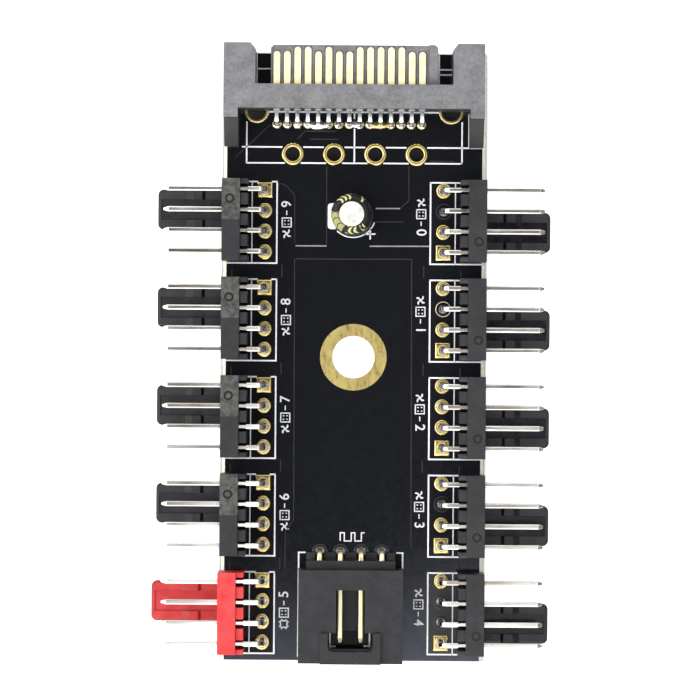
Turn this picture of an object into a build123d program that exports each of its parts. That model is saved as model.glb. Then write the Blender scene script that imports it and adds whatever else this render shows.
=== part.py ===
from build123d import *
import math
import os

# Ten-port fan hub: a black circuit board with five right-angle pin headers down each long side,
# a drive-type power plug across the top edge and a shrouded control header at the bottom edge.
# Millimetres. X runs across the board, Y along it towards the power plug, Z up from its underside.
# The origin is where the axis of the central mounting hole meets the underside of the board.

os.makedirs("parts", exist_ok=True)

# Circuit board
board_width = 32.2
board_length = 74.6
board_thickness = 1.6
score_depth = 0.5
score_width = 0.4

# Central mounting hole and its plated ring
mounting_hole_diameter = 5.2
mounting_ring_diameter = 8.2
plating_thickness = 0.05

# Four spare holes behind the power plug, for a larger power inlet that is not fitted
spare_hole_count = 4
spare_hole_pitch = 5.08
spare_hole_diameter = 1.9
spare_row_setback = 3.7

# Fits
sliding_gap = 0.02

# Square pins and the holes that take them
pin_pitch = 2.54
pin_thickness = 0.64
pin_bend_radius = 0.35
pin_tip_length = 0.6
pin_tip_thickness = 0.3
lead_tail = 1.5
lead_hole_diameter = 1.2
lead_hole_flat_count = 8

# Fan headers: rows fill both long sides from the power plug down to the other end of the board
header_row_pitch = 12.0
first_row_setback = 11.95
last_row_margin = 0.3
header_pin_count = 4
header_end_relief = 0.08
header_face_overhang = 0.05
lead_setback = 5.15
wafer_depth = 3.17
standoff_depth = 0.95
wafer_height = 5.9
standoff_height = 5.5
lead_slot_width = 1.15
header_pin_height = 3.45
header_pin_reach = 7.15
tab_reach = 7.95
tab_width = 4.95
tab_thickness = 1.05
tab_corner_radius = 0.7
tab_lead_in = 0.3
tab_channel_width = 2.5
tab_channel_depth = 0.2
tab_channel_margin = 0.45
ridge_start = 2.15
ridge_crest_start = 2.5
ridge_crest_end = 3.6
ridge_end = 4.4
ridge_height = 0.35
red_header_number = 5
red_header_push = 0.2
red_tab_extension = 0.3

# Power plug
plug_left_inset = 0.08
plug_right_inset = 0.32
plug_height = 6.2
plug_lead_row = 8.65
plug_wall_rear = 1.6
plug_wall_depth = 2.95
arm_width = 3.87
arm_reach = 5.0
arm_chamfer_width = 0.6
arm_chamfer_length = 0.75
ear_width = 1.75
ear_reach = 4.47
ear_shoulder = 1.15
ear_step_height = 4.4
ear_end_height = 1.5
tongue_reach = 4.9
tongue_floor = 2.55
tongue_thickness = 1.25
tongue_corner = 0.35
tongue_side_margin = 0.32
key_width = 1.1
key_height = 1.15
key_contact_gap = 0.38
contact_count = 15
contact_pitch = 1.27
contact_width = 0.82
contact_thickness = 0.25
contact_groove_depth = 0.15
contact_groove_margin = 0.12
contact_tip_chamfer = 0.24
long_contact_reach = 4.65
short_contact_reach = 4.1
short_contact_numbers = (1, 2, 5, 7, 8, 14, 15)
contact_lead_width = 0.46
contact_bend_radius = 0.3
contact_hole_diameter = 0.9
contact_tail = 1.3
peg_spacing = 23.95
peg_diameter = 2.2
peg_hole_diameter = 2.55
peg_offset_y = 1.65
peg_boss_height = 1.2
peg_depth = 2.0

# Control header
shroud_x = -0.13
shroud_width = 12.75
shroud_height = 5.8
shroud_depth = 11.4
shroud_wall = 0.95
cavity_depth = 8.95
control_lead_row = 13.35
control_pin_height = 3.2
control_pin_end = 2.45
latch_slot_width = 3.5
latch_window_width = 5.45
latch_window_depth = 2.25
latch_window_radius = 0.6
latch_window_front = 1.5
latch_bridge_width = 7.4
latch_bridge_height = 0.6
latch_bridge_overhang = 0.05
rear_step_width = 10.9
rear_step_depth = 1.05
rear_step_height = 4.1
rear_ledge_depth = 0.9
rear_ledge_height = 1.6
rear_slot_width = 1.1

# Electrolytic capacitor
capacitor_x = -0.2
capacitor_y = 17.5
can_diameter = 4.75
can_height = 7.0
can_shoulder = 0.55
can_rim_height = 0.2
sleeve_thickness = 0.12
sleeve_opening_diameter = 3.2
seal_diameter = 4.0
seal_thickness = 1.0
capacitor_lead_pitch = 2.0
capacitor_lead_diameter = 0.5
capacitor_lead_tail = 1.2
capacitor_hole_diameter = 0.9

# Places worked out from the sizes above
board_edge_x = board_width / 2
board_end_y = board_length / 2
lead_column_x = board_edge_x + header_face_overhang - lead_setback
board_top = Plane.XY.offset(board_thickness)
housing_length = header_pin_count * pin_pitch - 2 * header_end_relief
header_pin_offsets = [
    (index - (header_pin_count - 1) / 2) * pin_pitch for index in range(header_pin_count)
]
tab_centre = header_pin_offsets[1]
pin_slot = pin_thickness + 2 * sliding_gap
plug_width = board_width - plug_left_inset - plug_right_inset
plug_x = (plug_left_inset - plug_right_inset) / 2
plug_lead_row_y = board_end_y - plug_lead_row
spare_row_y = plug_lead_row_y - spare_row_setback
first_row_y = plug_lead_row_y - first_row_setback
row_space = first_row_y + board_end_y - housing_length / 2 - last_row_margin
header_rows = 1 + int(row_space / header_row_pitch)
contact_span = (contact_count - 1) * contact_pitch + contact_width
tongue_width = key_width + key_contact_gap + contact_span + tongue_side_margin
contact_centre = (key_width + key_contact_gap - tongue_side_margin) / 2


def frame_at(x, y, outward):
    # A plane on the top face of the board whose X axis points out of the board.
    return Plane(origin=(x, y, board_thickness), x_dir=outward, z_dir=(0, 0, 1))


def upright(frame, along=0.0):
    # An upright plane across a connector: its X points out of the board and its Y points up.
    origin = frame.from_local_coords((0, along, 0))
    return Plane(origin=origin, x_dir=frame.x_dir, z_dir=-frame.y_dir)


def facing(frame, out, along=0.0, up=0.0):
    # A plane square to a connector's mating direction: its X runs along the row and its Y points up.
    origin = frame.from_local_coords((out, along, up))
    return Plane(origin=origin, x_dir=frame.y_dir, z_dir=frame.x_dir)


def beneath(frame, along, level):
    # A plane that looks down, at the foot of one lead of a connector.
    origin = frame.from_local_coords((0, along, level))
    return Plane(origin=origin, x_dir=frame.x_dir, z_dir=(0, 0, -1))


def header_frame(number):
    # Headers 0 to 4 go down the right side and headers 9 to 5 down the left side.
    if number < header_rows:
        return frame_at(lead_column_x, first_row_y - number * header_row_pitch, (1, 0, 0))
    row = 2 * header_rows - 1 - number
    return frame_at(-lead_column_x, first_row_y - row * header_row_pitch, (-1, 0, 0))


header_frames = [header_frame(number) for number in range(2 * header_rows)]
plug_frame = frame_at(plug_x, plug_lead_row_y, (0, 1, 0))
control_frame = frame_at(shroud_x, control_lead_row - board_end_y, (0, -1, 0))
contact_offsets = [
    contact_centre - (index - (contact_count - 1) / 2) * contact_pitch for index in range(contact_count)
]

fan_lead_points = [
    frame.from_local_coords((0, along)) for frame in header_frames for along in header_pin_offsets
]
control_lead_points = [control_frame.from_local_coords((0, along)) for along in header_pin_offsets]
plug_lead_points = [plug_frame.from_local_coords((0, along)) for along in contact_offsets]
peg_points = [plug_frame.from_local_coords((peg_offset_y, side * peg_spacing / 2)) for side in (-1, 1)]
capacitor_lead_points = [(capacitor_x + side * capacitor_lead_pitch / 2, capacitor_y) for side in (-1, 1)]
spare_hole_points = [
    ((index - (spare_hole_count - 1) / 2) * spare_hole_pitch, spare_row_y)
    for index in range(spare_hole_count)
]


def contact_reach(index):
    # How far a contact runs out on the tongue; the long ones mate first.
    return short_contact_reach if index + 1 in short_contact_numbers else long_contact_reach


def flat(points):
    # The same points without their height, for a sketch on the underside of the board.
    return [(point[0], point[1]) if isinstance(point, tuple) else (point.X, point.Y) for point in points]


def save(part, name):
    part.label = name
    export_step(part, f"parts/{name}.step")


# Circuit board. Both long edges were scored from each face and snapped, which leaves them bevelled.
with BuildPart() as circuit_board:
    with BuildSketch(Plane.XZ):
        with BuildLine():
            Polyline(
                (0, 0),
                (board_edge_x - score_width, 0),
                (board_edge_x, score_depth),
                (board_edge_x, board_thickness - score_depth),
                (board_edge_x - score_width, board_thickness),
                (0, board_thickness),
            )
            mirror(about=Plane.YZ)
        make_face()
    extrude(amount=board_end_y, both=True)
    with BuildSketch():
        Circle(mounting_hole_diameter / 2 + plating_thickness)
        with Locations(*spare_hole_points):
            Circle(spare_hole_diameter / 2)
        with Locations(*flat(peg_points)):
            Circle(peg_hole_diameter / 2)
    extrude(amount=board_thickness, mode=Mode.SUBTRACT)
    # The many lead holes have flats that lie on the round hole they stand for.
    with BuildSketch():
        with Locations(*flat(fan_lead_points + control_lead_points)):
            RegularPolygon(lead_hole_diameter / 2, lead_hole_flat_count, major_radius=False)
        with Locations(*flat(plug_lead_points)):
            RegularPolygon(contact_hole_diameter / 2, lead_hole_flat_count, major_radius=False)
        with Locations(*flat(capacitor_lead_points)):
            RegularPolygon(capacitor_hole_diameter / 2, lead_hole_flat_count, major_radius=False)
    extrude(amount=board_thickness, mode=Mode.SUBTRACT)
save(circuit_board.part, "circuit_board")


# Plated ring of the mounting hole: a barrel through the board with a flat ring on each face.
with BuildPart() as mounting_hole_ring:
    for level in (-plating_thickness, board_thickness):
        with BuildSketch(Plane.XY.offset(level)):
            Circle(mounting_ring_diameter / 2)
        extrude(amount=plating_thickness)
    with BuildSketch():
        Circle(mounting_hole_diameter / 2 + plating_thickness)
    extrude(amount=board_thickness)
    with BuildSketch(Plane.XY.offset(-plating_thickness)):
        Circle(mounting_hole_diameter / 2)
    extrude(amount=board_thickness + 2 * plating_thickness, mode=Mode.SUBTRACT)
save(mounting_hole_ring.part, "mounting_hole_ring")


def fan_housing(frame, push, tab_reach):
    # A moulded wafer that stands on the board, with a friction tab below the pins.
    face = lead_setback + push
    rear = face - wafer_depth
    channel_end = tab_reach - tab_channel_margin
    with BuildPart() as housing:
        with BuildSketch(frame):
            with Locations((rear + standoff_depth, 0)):
                Rectangle(wafer_depth - standoff_depth, housing_length, align=(Align.MIN, Align.CENTER))
        extrude(amount=wafer_height)
        with BuildSketch(frame):
            with Locations((rear + standoff_depth / 2, 0)):
                Rectangle(standoff_depth, housing_length)
            with Locations(*[(rear + standoff_depth / 2, along) for along in header_pin_offsets]):
                Rectangle(standoff_depth, lead_slot_width, mode=Mode.SUBTRACT)
        extrude(amount=standoff_height)
        with BuildSketch(frame) as tab:
            with Locations((face + tab_reach / 2, tab_centre)):
                Rectangle(tab_reach, tab_width)
            fillet(tab.vertices().group_by(Axis.X)[-1], tab_corner_radius)
        extrude(amount=tab_thickness)
        outward = Axis(frame.origin, frame.x_dir)
        tab_end = housing.faces().sort_by(outward)[-1]
        chamfer(tab_end.edges().sort_by(Axis.Z)[-1], tab_lead_in)
        # The ridge that grips the plug: steep towards the wafer and sloped towards the free end.
        with BuildSketch(upright(frame, tab_centre)):
            with BuildLine():
                Polyline(
                    (face + ridge_start, tab_thickness),
                    (face + ridge_crest_start, tab_thickness + ridge_height),
                    (face + ridge_crest_end, tab_thickness + ridge_height),
                    (face + ridge_end, tab_thickness),
                    close=True,
                )
            make_face()
        extrude(amount=tab_width / 2, both=True)
        # A shallow channel below the second pin, which parts the ridge and stops short of the free end.
        with BuildSketch(frame.offset(tab_thickness - tab_channel_depth)):
            with Locations((face, tab_centre)):
                Rectangle(channel_end, tab_channel_width, align=(Align.MIN, Align.CENTER))
        extrude(amount=tab_channel_depth + ridge_height, mode=Mode.SUBTRACT)
        with BuildSketch(facing(frame, face)):
            with Locations(*[(along, header_pin_height) for along in header_pin_offsets]):
                Rectangle(pin_slot, pin_slot)
        extrude(amount=-wafer_depth, mode=Mode.SUBTRACT)
    return housing.part


def quarter_bend(start, foot, level, tail, radius):
    # Inner line of a bent lead. Two chords stand for the quarter circle, so the many leads stay light.
    middle = radius * (1 - math.sqrt(0.5))
    return [
        (start, level),
        (foot + radius, level),
        (foot + middle, level - middle),
        (foot, level - radius),
        (foot, tail),
    ]


def bent_pins(frame, reach, height):
    # Square pins: a level mating end over the board's edge, a bend and a tail through the board.
    half = pin_thickness / 2
    inset = (pin_thickness - pin_tip_thickness) / 2
    level_end = reach - pin_tip_length
    tail_end = pin_tip_length - board_thickness - lead_tail
    level_tips = [facing(frame, level_end, along, height) for along in header_pin_offsets]
    tail_tips = [beneath(frame, along, tail_end) for along in header_pin_offsets]
    with BuildPart() as pins:
        with BuildSketch(*[upright(frame, along) for along in header_pin_offsets]):
            with BuildLine():
                Polyline(*quarter_bend(level_end, half, height - half, tail_end, pin_bend_radius))
                offset(amount=pin_thickness, side=Side.RIGHT, kind=Kind.INTERSECTION)
            make_face()
        extrude(amount=half, both=True)
        with Locations(*level_tips, *tail_tips):
            Wedge(
                pin_thickness,
                pin_tip_length,
                pin_thickness,
                inset,
                inset,
                pin_thickness - inset,
                pin_thickness - inset,
                rotation=(90, 0, 0),
                align=(Align.CENTER, Align.MIN, Align.CENTER),
            )
    return pins.part


for number, frame in enumerate(header_frames):
    is_red = number == red_header_number
    push = red_header_push if is_red else 0.0
    reach = tab_reach + red_tab_extension if is_red else tab_reach
    save(fan_housing(frame, push, reach), f"fan_header_{number}_housing")
    save(bent_pins(frame, lead_setback + header_pin_reach, header_pin_height), f"fan_header_{number}_pins")


# Power plug housing
plug_rear = plug_wall_rear
plug_face = plug_rear + plug_wall_depth
tongue_top = tongue_floor + tongue_thickness
contact_level = tongue_top - contact_groove_depth
with BuildPart() as power_plug_housing:
    # Cross wall with an arm at each end.
    with BuildSketch(plug_frame):
        with Locations((plug_rear + plug_wall_depth / 2, 0)):
            Rectangle(plug_wall_depth, plug_width)
        for side in (-1, 1):
            inner = side * (plug_width / 2 - arm_width)
            outer = side * plug_width / 2
            with BuildLine():
                Polyline(
                    (plug_face, inner),
                    (plug_face + arm_reach - arm_chamfer_length, inner),
                    (plug_face + arm_reach, inner + side * arm_chamfer_width),
                    (plug_face + arm_reach, outer),
                    (plug_face, outer),
                    close=True,
                )
            make_face()
    extrude(amount=plug_height)
    # Rear ears: full height beside the wall, then a step and a slope down to the board.
    with BuildSketch(*[upright(plug_frame, side * (plug_width - ear_width) / 2) for side in (-1, 1)]):
        with BuildLine():
            Polyline(
                (plug_rear, 0),
                (plug_rear - ear_reach, 0),
                (plug_rear - ear_reach, ear_end_height),
                (plug_rear - ear_shoulder, ear_step_height),
                (plug_rear - ear_shoulder, plug_height),
                (plug_rear, plug_height),
                close=True,
            )
        make_face()
    extrude(amount=ear_width / 2, both=True)
    # Tongue with its key leg standing on one end.
    with BuildSketch(plug_frame.offset(tongue_floor)) as tongue:
        with Locations((plug_face + tongue_reach / 2, 0)):
            Rectangle(tongue_reach, tongue_width)
        chamfer(tongue.vertices().group_by(Axis.X)[-1], tongue_corner)
    extrude(amount=tongue_thickness)
    with BuildSketch(plug_frame.offset(tongue_top)) as key_leg:
        with Locations((plug_face + tongue_reach / 2, (key_width - tongue_width) / 2)):
            Rectangle(tongue_reach, key_width)
        chamfer(key_leg.vertices().group_by(Axis.X)[-1].sort_by(Axis.Y)[0], tongue_corner)
    extrude(amount=key_height)
    # Grooves for the contacts, and the slots that they pass through.
    for index, along in enumerate(contact_offsets):
        with BuildSketch(plug_frame.offset(tongue_top)) as groove:
            with Locations((plug_face, along)):
                Rectangle(
                    contact_reach(index) + contact_groove_margin,
                    contact_width + 2 * contact_groove_margin,
                    align=(Align.MIN, Align.CENTER),
                )
            chamfer(groove.vertices().group_by(Axis.X)[-1], contact_tip_chamfer)
    extrude(amount=-contact_groove_depth, mode=Mode.SUBTRACT)
    with BuildSketch(facing(plug_frame, plug_face)):
        with Locations(*[(along, contact_level + contact_thickness / 2) for along in contact_offsets]):
            Rectangle(contact_width + 2 * sliding_gap, contact_thickness + 2 * sliding_gap)
    extrude(amount=-plug_wall_depth, mode=Mode.SUBTRACT)
    # Locating pegs, cut flat in line with the rear of the cross wall.
    with BuildSketch(plug_frame.offset(peg_boss_height)):
        with Locations(*[(peg_offset_y, side * peg_spacing / 2) for side in (-1, 1)]):
            Circle(peg_diameter / 2)
        with Locations((plug_rear, 0)):
            Rectangle(peg_diameter, plug_width, align=(Align.MAX, Align.CENTER), mode=Mode.SUBTRACT)
    extrude(amount=-peg_boss_height - peg_depth)
save(power_plug_housing.part, "power_plug_housing")


def power_contact(along, reach):
    # One stamped contact: a strip on the tongue, then a narrower lead that bends down.
    half = contact_thickness / 2
    tail_end = -board_thickness - contact_tail
    with BuildPart() as contact:
        with BuildSketch(plug_frame.offset(contact_level)) as strip:
            with Locations((plug_rear, along)):
                Rectangle(plug_wall_depth + reach, contact_width, align=(Align.MIN, Align.CENTER))
            chamfer(strip.vertices().group_by(Axis.X)[-1], contact_tip_chamfer)
        extrude(amount=contact_thickness)
        with BuildSketch(upright(plug_frame, along)):
            with BuildLine():
                Polyline(*quarter_bend(plug_rear, half, contact_level, tail_end, contact_bend_radius))
                offset(amount=contact_thickness, side=Side.RIGHT, kind=Kind.INTERSECTION)
            make_face()
        extrude(amount=contact_lead_width / 2, both=True)
    return contact.part


for index, along in enumerate(contact_offsets):
    save(power_contact(along, contact_reach(index)), f"power_contact_{index + 1}")


# Control header shroud: a box open at the board's edge, with a latch window in its top.
shroud_face = control_lead_row
shroud_rear = shroud_face - shroud_depth
ledge_centre = shroud_rear - rear_step_depth - rear_ledge_depth / 2
cavity_end = shroud_face - cavity_depth
window_front = shroud_face - latch_window_front
with BuildPart() as control_header_housing:
    with BuildSketch(control_frame):
        with Locations((shroud_face - shroud_depth / 2, 0)):
            Rectangle(shroud_depth, shroud_width)
    extrude(amount=shroud_height)
    # Rear step that the pins leave, and the low ledge with a slot for each of them.
    with BuildSketch(control_frame):
        with Locations((shroud_rear - rear_step_depth / 2, 0)):
            Rectangle(rear_step_depth, rear_step_width)
    extrude(amount=rear_step_height)
    with BuildSketch(control_frame):
        with Locations((ledge_centre, 0)):
            Rectangle(rear_ledge_depth, rear_step_width)
        with Locations(*[(ledge_centre, along) for along in header_pin_offsets]):
            Rectangle(rear_ledge_depth, rear_slot_width, mode=Mode.SUBTRACT)
    extrude(amount=rear_ledge_height)
    # Raised latch bridge over the mouth.
    with BuildSketch(control_frame):
        with Locations((window_front - latch_window_depth, 0)):
            Rectangle(
                latch_window_front + latch_window_depth + latch_bridge_overhang,
                latch_bridge_width,
                align=(Align.MIN, Align.CENTER),
            )
    extrude(amount=shroud_height + latch_bridge_height)
    # Cavity, the slot over the two middle pins and the window, which goes through top and bottom.
    with BuildSketch(facing(control_frame, cavity_end)):
        with Locations((0, shroud_height / 2)):
            Rectangle(shroud_width - 2 * shroud_wall, shroud_height - 2 * shroud_wall)
    extrude(amount=cavity_depth + latch_bridge_overhang, mode=Mode.SUBTRACT)
    with BuildSketch(control_frame.offset(shroud_height / 2)):
        with Locations((cavity_end, 0)):
            Rectangle(window_front - cavity_end, latch_slot_width, align=(Align.MIN, Align.CENTER))
    extrude(amount=shroud_height, mode=Mode.SUBTRACT)
    with BuildSketch(control_frame) as window:
        with Locations((window_front - latch_window_depth / 2, 0)):
            Rectangle(latch_window_depth, latch_window_width)
        fillet(window.vertices().group_by(Axis.X)[-1], latch_window_radius)
    extrude(amount=shroud_height + latch_bridge_height, mode=Mode.SUBTRACT)
    with BuildSketch(facing(control_frame, cavity_end)):
        with Locations(*[(along, control_pin_height) for along in header_pin_offsets]):
            Rectangle(pin_slot, pin_slot)
    extrude(amount=-(cavity_end - shroud_rear + rear_step_depth), mode=Mode.SUBTRACT)
save(control_header_housing.part, "control_header_housing")
save(bent_pins(control_frame, shroud_face - control_pin_end, control_pin_height), "control_header_pins")


# Capacitor: an aluminium can closed below by a rubber seal, in a shrink sleeve.
capacitor_foot = (capacitor_x, capacitor_y, board_thickness)
capacitor_section = Plane(origin=capacitor_foot, x_dir=(1, 0, 0), z_dir=(0, -1, 0))
capacitor_axis = Axis(capacitor_foot, (0, 0, 1))
can_radius = can_diameter / 2
can_top = can_rim_height + can_height
with BuildPart() as capacitor_can:
    with BuildSketch(capacitor_section) as can_half:
        with Locations((0, can_rim_height)):
            Rectangle(can_radius, can_height, align=Align.MIN)
        chamfer(can_half.vertices().group_by(Axis.Y)[-1].sort_by(Axis.X)[-1], can_shoulder)
        with Locations((0, can_rim_height)):
            Rectangle(seal_diameter / 2, seal_thickness, align=Align.MIN, mode=Mode.SUBTRACT)
    revolve(axis=capacitor_axis)
save(capacitor_can.part, "capacitor_can")

sleeve_inner = can_radius + sliding_gap
sleeve_under = can_top + sliding_gap
with BuildPart() as capacitor_sleeve:
    with BuildSketch(capacitor_section):
        with BuildLine():
            Polyline(
                (sleeve_inner, can_rim_height),
                (sleeve_inner, sleeve_under - can_shoulder),
                (sleeve_inner - can_shoulder, sleeve_under),
                (sleeve_opening_diameter / 2, sleeve_under),
            )
            offset(amount=sleeve_thickness, side=Side.RIGHT, kind=Kind.INTERSECTION)
        make_face()
    revolve(axis=capacitor_axis)
save(capacitor_sleeve.part, "capacitor_sleeve")

with BuildPart() as capacitor_seal:
    with BuildSketch(board_top):
        with Locations((capacitor_x, capacitor_y)):
            Circle(seal_diameter / 2 - sliding_gap)
    extrude(amount=can_rim_height + seal_thickness)
save(capacitor_seal.part, "capacitor_seal")

# The leads leave the seal's underside and go down through the board. Flats stand for their round.
with BuildPart() as capacitor_leads:
    with BuildSketch(board_top):
        with Locations(*capacitor_lead_points):
            RegularPolygon(capacitor_lead_diameter / 2, lead_hole_flat_count)
    extrude(amount=-board_thickness - capacitor_lead_tail)
save(capacitor_leads.part, "capacitor_leads")
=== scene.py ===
import math

import bmesh
import bpy
import numpy as np
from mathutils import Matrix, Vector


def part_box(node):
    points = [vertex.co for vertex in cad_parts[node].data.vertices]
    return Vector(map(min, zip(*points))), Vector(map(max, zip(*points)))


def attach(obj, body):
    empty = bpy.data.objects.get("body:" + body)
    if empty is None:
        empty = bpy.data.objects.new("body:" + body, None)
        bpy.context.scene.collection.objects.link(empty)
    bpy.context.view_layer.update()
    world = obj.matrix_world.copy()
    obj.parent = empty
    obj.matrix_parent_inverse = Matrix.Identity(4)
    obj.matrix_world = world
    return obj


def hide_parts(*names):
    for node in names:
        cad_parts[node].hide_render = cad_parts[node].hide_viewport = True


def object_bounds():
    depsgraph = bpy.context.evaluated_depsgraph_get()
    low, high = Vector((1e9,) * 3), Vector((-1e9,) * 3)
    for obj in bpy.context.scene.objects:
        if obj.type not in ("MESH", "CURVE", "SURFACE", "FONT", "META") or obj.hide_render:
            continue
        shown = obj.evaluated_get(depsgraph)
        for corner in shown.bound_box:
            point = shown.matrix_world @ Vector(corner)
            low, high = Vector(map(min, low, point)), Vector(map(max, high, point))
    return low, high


# Looks of a ten-port fan hub. Blender works in metres, the numbers here are millimetres.
# Right-hand ports are 0 to 4 from the top, left-hand ports are 9 to 5 from the top.

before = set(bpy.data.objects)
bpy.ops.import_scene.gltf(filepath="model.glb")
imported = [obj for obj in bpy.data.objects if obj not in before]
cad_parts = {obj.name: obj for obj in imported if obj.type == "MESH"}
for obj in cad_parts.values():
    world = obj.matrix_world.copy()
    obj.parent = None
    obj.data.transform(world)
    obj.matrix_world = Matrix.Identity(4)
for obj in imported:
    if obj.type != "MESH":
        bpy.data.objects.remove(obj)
cadLow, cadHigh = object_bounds()
print("frame loaded:", len(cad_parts), "nodes")

millimetre = 0.001
up = np.array([0.0, 0.0, 1.0])
black = (0.0, 0.0, 0.0)


def boxOf(node):
    low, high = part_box(node)
    return np.array(low) / millimetre, np.array(high) / millimetre


def addObject(name, data):
    made = bpy.data.objects.new(name, data)
    bpy.context.scene.collection.objects.link(made)
    return made


def dress(mesh, finish):
    mesh.materials.clear()
    mesh.materials.append(finish)


boardLow, boardHigh = boxOf("circuit_board")
boardTop = boardHigh[2]


# Helpers for the finishes. A socket knows its tree, so only the first node of a chain is told the tree.

def addNode(tree, kind, inputs=None, **settings):
    made = tree.nodes.new(kind)
    for key, value in settings.items():
        setattr(made, key, value)
    for key, value in (inputs or {}).items():
        if isinstance(value, bpy.types.NodeSocket):
            tree.links.new(value, made.inputs[key])
        else:
            made.inputs[key].default_value = value
    return made


def newFinish(name, colour, gloss, metallic=0.0, sheen=0.5):
    material = bpy.data.materials.new(name)
    material.use_nodes = True
    shader = material.node_tree.nodes["Principled BSDF"]
    shader.inputs["Base Color"].default_value = (*colour, 1.0)
    shader.inputs["Roughness"].default_value = gloss
    shader.inputs["Metallic"].default_value = metallic
    shader.inputs["Specular IOR Level"].default_value = sheen
    return material, material.node_tree, shader


def feed(shader, socket, value):
    shader.id_data.links.new(value, shader.inputs[socket])


def calculate(operation, first, *others):
    # a maths node, and one more for each value past the second
    for other in others or (0.0,):
        socket = first if isinstance(first, bpy.types.NodeSocket) else other
        made = addNode(socket.id_data, "ShaderNodeMath", {0: first, 1: other}, operation=operation)
        first = made.outputs[0]
    return first


def plus(*terms):
    return calculate("ADD", *terms)


def minus(first, second):
    return calculate("SUBTRACT", first, second)


def times(*factors):
    return calculate("MULTIPLY", *factors)


def larger(*values):
    return calculate("MAXIMUM", *values)


def magnitude(value):
    return calculate("ABSOLUTE", value)


def between(value, low, high, outLow=0.0, outHigh=1.0):
    # (value - low) / (high - low), kept within 0 and 1, then carried to outLow .. outHigh
    inputs = {"Value": value, "From Min": low, "From Max": high, "To Min": outLow, "To Max": outHigh}
    return addNode(value.id_data, "ShaderNodeMapRange", inputs).outputs["Result"]


def inside(value, low, high, soft=0.06):
    # 1 where low < value < high, fading over soft at both ends
    half = soft / 2
    return times(between(value, low - half, low + half), between(value, high + half, high - half))


def blendColour(factor, first, second):
    made = addNode(factor.id_data, "ShaderNodeMix", {0: factor}, data_type="RGBA")
    for key, value in ((6, first), (7, second)):
        if isinstance(value, bpy.types.NodeSocket):
            factor.id_data.links.new(value, made.inputs[key])
        else:
            made.inputs[key].default_value = (*value, 1.0)
    return made.outputs[2]


def objectPlace(tree):
    # x, y and z on the object's own coordinates, in millimetres
    place = addNode(tree, "ShaderNodeTexCoord").outputs["Object"]
    scaled = addNode(tree, "ShaderNodeVectorMath", {0: place, "Scale": 1 / millimetre}, operation="SCALE")
    return addNode(tree, "ShaderNodeSeparateXYZ", {0: scaled.outputs[0]}).outputs


def faceNormal(tree):
    normal = addNode(tree, "ShaderNodeNewGeometry").outputs["Normal"]
    return addNode(tree, "ShaderNodeSeparateXYZ", {0: normal}).outputs


def spots(tree, scale, detail, stretch=(1, 1, 1), roughness=0.55):
    # noise on the object's own coordinates; scale counts features in a metre
    place = addNode(tree, "ShaderNodeTexCoord").outputs["Object"]
    turned = addNode(tree, "ShaderNodeMapping", {"Vector": place, "Scale": stretch})
    inputs = {"Vector": turned.outputs[0], "Scale": scale, "Detail": detail, "Roughness": roughness}
    return addNode(tree, "ShaderNodeTexNoise", inputs).outputs["Fac"]


def patches(tree, scale, detail, limits=(0.3, 0.7), result=(0.0, 1.0), **more):
    # the same noise, carried from between limits to between the two numbers of result
    return between(spots(tree, scale, detail, **more), *limits, *result)


def roughen(shader, height, depth, strength):
    # depth is the bump's real height in millimetres
    inputs = {"Height": height, "Distance": depth * millimetre, "Strength": strength}
    feed(shader, "Normal", addNode(shader.id_data, "ShaderNodeBump", inputs).outputs[0])


def darkSlopes(shade, share):
    # painted shade: faces that don't lie level lose this share of their colour
    return blendColour(between(faceNormal(shade.id_data)[2], 0.97, 0.9, 0.0, share), shade, black)


portGrid = {"leadRow": 11.0, "rowPitch": 12.0, "firstRow": 16.7}


def portCoordinates(x, y, values=portGrid):
    # distance out past the row of leads, and distance up from the middle of the nearest port
    out = minus(magnitude(x), values["leadRow"])
    phase = times(minus(y, values["firstRow"]), 1 / values["rowPitch"])
    phase = calculate("FRACT", plus(phase, 0.5))
    return out, times(minus(phase, 0.5), values["rowPitch"])


# Finishes: a dictionary and a function for each kind

boardValues = {
    "pour": (0.048, 0.051, 0.064),
    "pourLight": (0.060, 0.063, 0.075),
    "mask": (0.0088, 0.0088, 0.0118),
    "paintedSheenMask": (0.043, 0.043, 0.045),
    "sheenAcross": (6.0, 9.0),
    "sheenRows": (-23.0, -28.0),
    "laminate": (0.80, 0.81, 0.68),
    "laminateDark": (0.60, 0.60, 0.47),
    "laminateEnd": (0.10, 0.085, 0.05),
    "copperShare": 0.88,
    "gloss": 0.05,
    "bareGloss": 0.7,
    "sheen": 0.12,
    "frameOut": (-1.55, 5.0),
    "frameAlong": (-5.1, 4.75),
    "framesEnd": 22.0,
    "controlAcross": (-6.5, 6.2),
    "controlAlong": (-40.0, -24.15),
    "flank": 0.6,
}


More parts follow.
